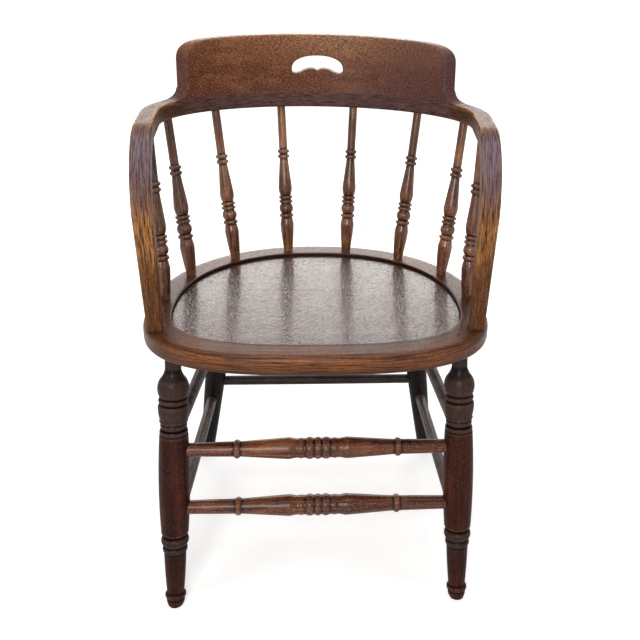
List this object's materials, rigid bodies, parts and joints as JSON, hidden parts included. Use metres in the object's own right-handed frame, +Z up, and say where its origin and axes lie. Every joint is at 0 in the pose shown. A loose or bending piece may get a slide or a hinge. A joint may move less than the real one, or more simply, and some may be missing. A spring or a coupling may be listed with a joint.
{
  "type": "captains chair",
  "caption": "Stained oak captain's chair with a bent arm bow, a crest board, turned spindles, raked turned legs and an inset seat panel.",
  "frame": {"origin": "on the floor, under the middle of the chair's outer box", "axes": "+Z up, +Y towards the back of the chair, +X to the right of someone who faces the chair's front"},
  "size_m": [0.5329, 0.4739, 0.7995],
  "materials": {
    "seat_oak": "gloss",
    "turned_oak": "satin",
    "bent_oak": "satin",
    "dowel_wood": "matte"
  },
  "bodies": {
    "root": {"seat_frame": "seat_oak", "seat_panel": "seat_oak", "leg_front_left": "turned_oak", "leg_front_right": "turned_oak", "leg_back_left": "turned_oak", "leg_back_right": "turned_oak", "stretcher_front_upper": "turned_oak", "stretcher_front_lower": "turned_oak", "stretcher_left_upper": "turned_oak", "stretcher_left_lower": "turned_oak", "stretcher_right_upper": "turned_oak", "stretcher_right_lower": "turned_oak", "stretcher_back": "turned_oak", "spindle_1": "turned_oak", "spindle_2": "turned_oak", "spindle_3": "turned_oak", "spindle_4": "turned_oak", "spindle_5": "turned_oak", "spindle_6": "turned_oak", "spindle_7": "turned_oak", "spindle_8": "turned_oak", "arm_bow": "bent_oak", "crest_rail": "bent_oak", "crest_dowels": "dowel_wood"}
  },
  "joints": []
}
